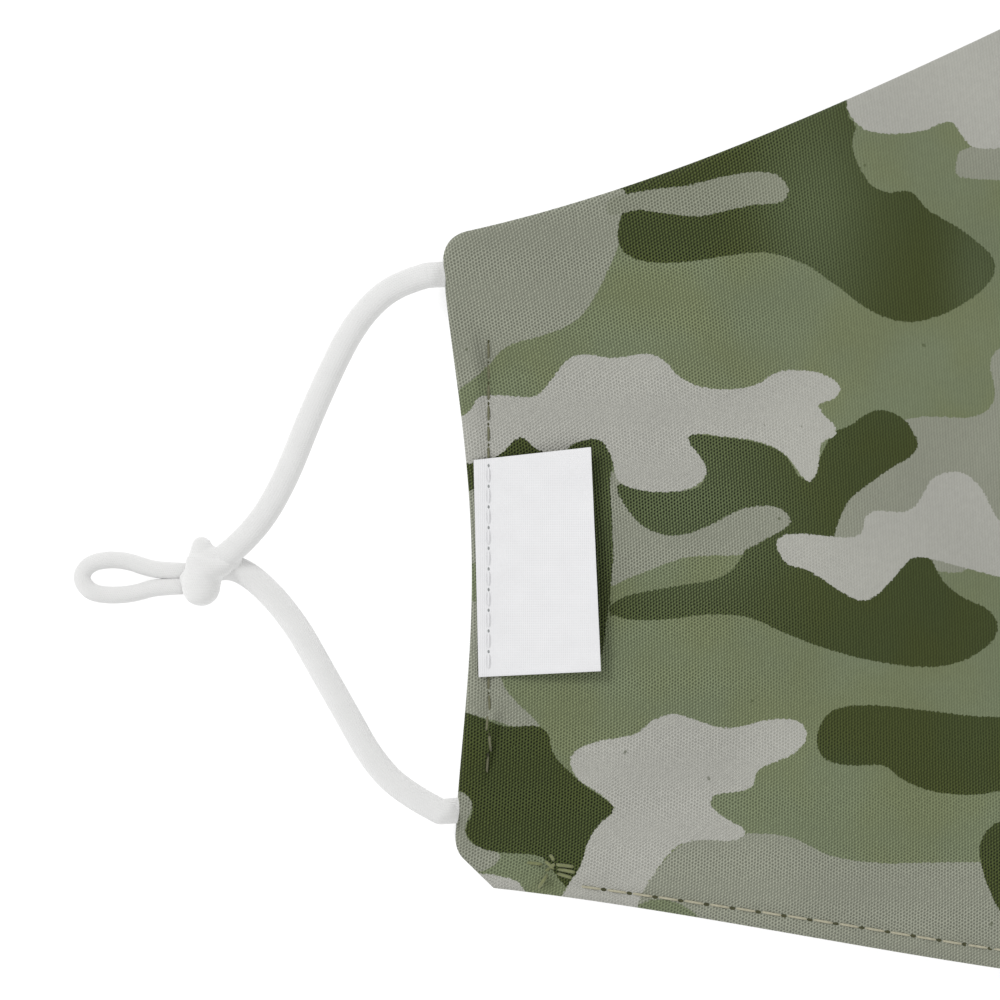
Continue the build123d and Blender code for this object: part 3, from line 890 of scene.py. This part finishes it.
# -------- cords
def spline_line(name, points):
    """Points of the NURBS line that has the route's points as its control points, in millimetres."""
    data = bpy.data.curves.new(name, "CURVE")
    data.dimensions = "3D"
    data.resolution_u = 12
    spline = data.splines.new("NURBS")
    spline.points.add(len(points) - 1)
    for point, spot in zip(spline.points, points):
        point.co = (*[c * MM for c in spot], 1)
    spline.order_u = 3
    spline.use_endpoint_u = True
    holder = add_object(name, data)
    mesh = final_mesh(holder)
    line = np.array([v.co for v in mesh.vertices]) / MM
    bpy.data.objects.remove(holder)
    bpy.data.curves.remove(data)
    bpy.data.meshes.remove(mesh)
    return line


def tube(name, line, half_widths, half_heights, material, ring=CORD_RING):
    """Closed tube round a line, with rounded ends. Its section is an oval kept level."""
    line = np.asarray(line, float)
    forward = np.gradient(line, axis=0)
    forward /= np.linalg.norm(forward, axis=1)[:, None]
    aside = np.cross(forward, (0, 0, 1))
    aside /= np.linalg.norm(aside, axis=1)[:, None]
    up = np.cross(aside, forward)
    widths = np.broadcast_to(half_widths, len(line)).astype(float)
    heights = np.broadcast_to(half_heights, len(line)).astype(float)
    stations = [(0, -out, size) for out, size in CORD_CAP]
    stations += [(i, 0, 1) for i in range(len(line))]
    stations += [(-1, out, size) for out, size in reversed(CORD_CAP)]
    turn = np.linspace(0, 2 * math.pi, ring, endpoint=False)
    verts, flat, along, last_centre = [], [], 0.0, None
    for i, out, size in stations:
        centre = line[i] + forward[i] * out * heights[i]
        if last_centre is not None:
            along += np.linalg.norm(centre - last_centre)
        last_centre = centre
        wide, high = widths[i] * size, heights[i] * size
        for angle in turn:
            verts.append(centre + aside[i] * math.cos(angle) * wide + up[i] * math.sin(angle) * high)
            flat.append((along, angle * CORD / 2))
    faces = ring_faces(len(stations), ring)
    faces.append(tuple(range(ring))[::-1])
    last = (len(stations) - 1) * ring
    faces.append(tuple(last + j for j in range(ring)))
    obj = new_object(name, verts, [f[::-1] for f in faces], [material])
    set_uv(obj, np.array(flat))
    return obj


def mirrored(points, sign):
    return [(sign * x, y, z) for x, y, z in points]


def knot_piece(side, material):
    """The cord's turns, pulled tight so that they press into each other."""
    sign = SIDES[side]
    verts, faces = [], []
    for radius, turn in KNOT_TURNS:
        line = np.array(mirrored(turn, sign))
        if len(turn) > 2:
            line = spline_line("turn", line)
        part = tube("turn", line, radius, radius, material, ring=KNOT_RING)
        faces += [tuple(v + len(verts) for v in f.vertices) for f in part.data.polygons]
        verts += [tuple(v.co / MM) for v in part.data.vertices]
        bpy.data.objects.remove(part)
    obj = new_object(f"knot_{side}", verts, faces, [material])
    merge = obj.modifiers.new("merge", "REMESH")
    merge.mode = "VOXEL"
    merge.voxel_size = KNOT_VOXEL * MM
    merge.use_smooth_shade = True
    soften = obj.modifiers.new("soften", "SMOOTH")
    soften.factor = 0.6
    soften.iterations = 6
    apply_modifiers(obj)
    set_uv(obj, np.array([(v.co.x, v.co.y) for v in obj.data.vertices]) / MM)
    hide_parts(f"ear_knot_{side}")
    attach(obj, f"{side}_knot")
    return obj


def ear_loop(side, material):
    """Both strands, the knot, the tail and the short ends that come out of the hem."""
    sign = SIDES[side]
    knot = knot_piece(side, material)
    for name, route in (("upper", UPPER_ROUTE), ("lower", LOWER_ROUTE)):
        line = spline_line(name, mirrored(route, sign))
        strand = tube(f"ear_cord_{name}_{side}_piece", line, CORD / 2, CORD / 2, material)
        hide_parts(f"ear_cord_{name}_{side}")
        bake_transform(strand)
        ends = hem_end(name, side, sign, route[0], material)
        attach(ends, f"{side}_half")
    line = spline_line("tail", mirrored(TAIL_ROUTE, sign))
    tail = tube(f"ear_tail_{side}_piece", line, TAIL / 2, TAIL / 2, material)
    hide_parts(f"ear_tail_{side}")
    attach(tail, f"{side}_knot")


def hem_end(name, side, sign, start, material):
    """The cord between its last free point and the hem, pressed flat where the hem holds it."""
    x, y, z = start
    inner_x = x + HEM_END
    inner_z = rise(inner_x, y) + PLIES / 2
    t = np.linspace(0, 1, 9)
    heights = z + (inner_z - z) * smooth(t * 2)
    line = np.stack([sign * (x + (inner_x - x) * t), y + HEM_END_DRIFT * t, heights], 1)
    pressed = smooth((t * HEM_END - PRESS_START) / PRESS_LENGTH)
    thin = CORD / 2 * (1 - pressed) + HEM_END_HALF * pressed
    return tube(f"cord_end_{name}_{side}", line, CORD / 2, thin, material)


# -------- stitches and label
def label_height(x):
    """Height of the label's middle where it is sewn flat, and beyond its fold."""
    flat = PLIES + rise(LABEL_FOLD, 0.0) + LABEL_CLEAR + LABEL_THICK / 2
    past = np.maximum(x - LABEL_FOLD, 0)
    sag, sag_length = LABEL_SAG
    return flat + past * math.tan(math.radians(LABEL_ANGLE)) - sag * past * np.exp(-past / sag_length)


def label_piece(material):
    """Blank woven label, sewn down on one edge and standing a little off the cloth on the other."""
    u = np.linspace(0, 1, LABEL_COLUMNS)[None, :]
    v = np.linspace(0, 1, LABEL_ROWS)[:, None]
    outer_x = LABEL_OUTER + LABEL_OUTER_SKEW * (1 - v)
    free_x = LABEL_FREE + LABEL_SKEW * (1 - v)
    x = outer_x + (free_x - outer_x) * u
    low_y = LABEL_BOTTOM + LABEL_LOW_RISE * u
    high_y = LABEL_TOP + LABEL_RISE_TO_FREE * u
    y = low_y + (high_y - low_y) * v
    z = label_height(x)
    curl = smooth((x - LABEL_FOLD - CURL_START) / CURL_LENGTH)
    corner = smooth((v - 1 + CORNER_SHARE) / CORNER_SHARE)
    z = z + CORNER_CURL * curl * corner + RIPPLE * curl * np.sin(v * RIPPLE_TURN)
    sunk = LABEL_DIP * bell(x + HEM_LINE, LABEL_DIP_WIDTH)
    top = np.stack([x, y, z - sunk + LABEL_THICK / 2], -1).reshape(-1, 3)
    under = np.stack([x, y, z - sunk - LABEL_THICK / 2], -1).reshape(-1, 3)
    count = LABEL_ROWS * LABEL_COLUMNS
    faces = grid_faces(LABEL_ROWS, LABEL_COLUMNS, False)
    faces += [tuple(count + i for i in f[::-1]) for f in faces]
    rim = rim_of(np.arange(count).reshape(LABEL_ROWS, LABEL_COLUMNS))
    for a, b in zip(rim, np.roll(rim, -1)):
        faces.append((int(b), int(a), int(count + a), int(count + b)))
    obj = new_object("side_label", np.concatenate([top, under]), faces, [material])
    flat = np.stack([x, y], -1).reshape(-1, 2)
    set_uv(obj, np.concatenate([flat, flat]))
    edge_bevel = obj.modifiers.new("edge", "BEVEL")
    edge_bevel.width = LABEL_EDGE * MM
    edge_bevel.segments = 2
    apply_modifiers(obj)
    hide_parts("label_flap", "label_sewn_edge")
    middle_z = float(label_height(LABEL_FOLD)) * MM
    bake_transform(obj)


def stitch_parts(x, y, heading, pitch, thread, hole_size, surface, sign, verts, faces, slots):
    """One stitch: a thread that rises out of one needle hole and sinks into the next."""
    length = pitch * STITCH_SHARE
    quads = ring_faces(STITCH_STEPS, STITCH_RING, len(verts))
    faces.extend(quad if sign > 0 else quad[::-1] for quad in quads)
    slots.extend([0] * len(quads))
    for i in range(STITCH_STEPS):
        t = i / (STITCH_STEPS - 1) - 0.5
        px, py = x + math.cos(heading) * length * t, y + math.sin(heading) * length * t
        arch = 1 - (2 * t) ** 4
        ground = surface(px, py)
        centre = np.array([px, py, ground + thread * (STITCH_RISE * arch - STITCH_SINK * (1 - arch))])
        size = thread / 2 * (STITCH_END + (1 - STITCH_END) * arch)
        across = np.array([-math.sin(heading), math.cos(heading), 0])
        for j in range(STITCH_RING):
            angle = 2 * math.pi * j / STITCH_RING
            up = np.array([0, 0, math.sin(angle) * size * STITCH_FLAT])
            spot = centre + across * math.cos(angle) * size + up
            verts.append((sign * spot[0], spot[1], spot[2]))
    if not hole_size:
        return
    # a dark disc over the needle hole: painted shade for the hole
    hole_x = x + math.cos(heading) * pitch / 2
    hole_y = y + math.sin(heading) * pitch / 2
    base = len(verts)
    ground = surface(hole_x, hole_y)
    verts.append((sign * hole_x, hole_y, ground + HOLE_MIDDLE))
    for j in range(HOLE_SIDES):
        angle = 2 * math.pi * j / HOLE_SIDES
        dx, dy = hole_size * math.cos(angle), hole_size * HOLE_OVAL * math.sin(angle)
        rx = dx * math.cos(heading) - dy * math.sin(heading)
        ry = dx * math.sin(heading) + dy * math.cos(heading)
        verts.append((sign * (hole_x + rx), hole_y + ry, surface(hole_x + rx, hole_y + ry) + HOLE_RIM))
    for j in range(HOLE_SIDES):
        tri = (base, base + 1 + j, base + 1 + (j + 1) % HOLE_SIDES)
        faces.append(tri if sign > 0 else tri[::-1])
        slots.append(1)


def stitch_row(name, side, stitches, thread, hole_size, surface, materials, nodes):
    """One piece with all of a row's threads and needle holes, on the height that surface gives."""
    verts, faces, slots = [], [], []
    for x, y, heading, pitch in stitches:
        stitch_parts(x, y, heading, pitch, thread, hole_size, surface, SIDES[side], verts, faces, slots)
    obj = new_object(f"{name}_{side}", verts, faces, materials)
    obj.data.polygons.foreach_set("material_index", slots)
    if nodes:
        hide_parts(*nodes)
    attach(obj, f"{side}_half")


def cloth_surface(x, y):
    return float(outer_height(x, y, FAR_IN))


def label_surface(x, y):
    """Top of the label where it is sewn; it is the same height all along Y."""
    return float(label_height(x)) + LABEL_THICK / 2 - LABEL_DIP


def lining_surface(x, y):
    return float(inner_height(x, y, FAR_IN)) - SEAM_DEPTH


def on_label(stitch):
    return LABEL_BOTTOM - LABEL_MARGIN < stitch[1] < LABEL_TOP + LABEL_MARGIN


def seam_stitches():
    reach = HALF_HEIGHT - SEAM_MARGIN
    count = round(2 * reach / SEAM_PITCH)
    return [(-SEAM_INSET, y, math.pi / 2, SEAM_PITCH) for y in np.linspace(reach, -reach, count)]


# -------- stage
def camera_and_light():
    """Camera straight above the left half, a lamp at the upper left and a wider one at the lower right."""
    camera = bpy.data.cameras.new("camera")
    camera.sensor_width = SENSOR
    camera.lens = SENSOR * VIEW_DISTANCE / VIEW_WIDTH
    camera.clip_end = VIEW_END
    holder = add_object("camera", camera)
    holder.location = (VIEW_MIDDLE[0] * MM, VIEW_MIDDLE[1] * MM, VIEW_DISTANCE * MM)
    bpy.context.scene.camera = holder
    for name, spot, size, power in LAMPS:
        light = bpy.data.lights.new(name, "AREA")
        light.shape = "DISK"
        light.size = size
        light.energy = power
        lamp = add_object(name, light)
        lamp.location = spot
        aim = Vector(LAMP_TARGET) - Vector(spot)
        lamp.rotation_euler = aim.to_track_quat("-Z", "Y").to_euler()
    world = bpy.data.worlds.new("studio")
    bpy.context.scene.world = world
    world.use_nodes = True
    background = world.node_tree.nodes["Background"]
    background.inputs["Color"].default_value = (1, 1, 1, 1)
    background.inputs["Strength"].default_value = WORLD_STRENGTH
    bpy.context.scene.view_settings.view_transform = "Standard"


def floor_piece():
    """Pale floor, half clear and faintly bright, which keeps shadows soft and light."""
    n = Nodes("floor")
    n.finish((0.96, 0.96, 0.96), 0.95)
    n.shader.inputs["Emission Color"].default_value = (1, 1, 1, 1)
    n.shader.inputs["Emission Strength"].default_value = FLOOR_GLOW
    clear = n.add("ShaderNodeBsdfTransparent").outputs[0]
    both = n.add("ShaderNodeMixShader", {0: FLOOR_SOLID, 1: clear, 2: n.shader.outputs[0]})
    n.link(both.outputs[0], n.tree.nodes["Material Output"].inputs["Surface"])
    corners = [(-1, -1), (1, -1), (1, 1), (-1, 1)]
    verts = [(x * FLOOR_REACH, y * FLOOR_REACH, FLOOR_LEVEL) for x, y in corners]
    floor = new_object("floor", verts, [(0, 1, 2, 3)], [n.material], smooth_faces=False)


def repaint(node, material):
    """Better material on a CAD node that stays in view."""
    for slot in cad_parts[node].material_slots:
        slot.link = "OBJECT"
        slot.material = material


# -------- the mask
camera_and_light()
floor_piece()

camo = camo_material()
lining = lining_material()
label_cloth = label_material()
elastic = elastic_material()
threads = {name: thread_material(name, *colours) for name, colours in THREADS.items()}
# painted shade for the needle holes
hole = threads["needle_hole_shade"]

for side in SIDES:
    cloth = cloth_panel(side, camo)
    inner = lining_panel(side, lining)
    for piece in (cloth, inner):
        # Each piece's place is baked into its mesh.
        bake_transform(piece)
    declare_panel()
    declare_panel()
    bare = [stitch for stitch in side_stitches() if side == "right" or not on_label(stitch)]
    stitch_row("side_stitching", side, bare, THREAD, SIDE_HOLE, cloth_surface,
               [threads["side_thread"], hole], [f"side_topstitch_{side}"])
    stitch_row("bottom_stitching", side, bottom_stitches(), THREAD, BOTTOM_HOLE, cloth_surface,
               [threads["bottom_thread"], hole], [f"bottom_topstitch_{side}"])
    stitch_row("bottom_bar", side, BARTACK, BAR_THREAD, 0, cloth_surface,
               [threads["bar_thread"], hole], [f"bottom_bartack_{side}"])
    ear_loop(side, elastic)
    for name in ("upper", "lower"):
        repaint(f"ear_cord_end_{name}_{side}", elastic)

label_piece(label_cloth)
over_label = [stitch for stitch in side_stitches() if on_label(stitch)]
stitch_row("label_stitching", "left", over_label, THREAD, LABEL_HOLE, label_surface,
           [threads["label_thread"], threads["label_hole_shade"]], [])
stitch_row("centre_seam_stitching", "left", seam_stitches(), THREAD, 0, lining_surface,
           [threads["side_thread"], hole], ["centre_seam_thread"])
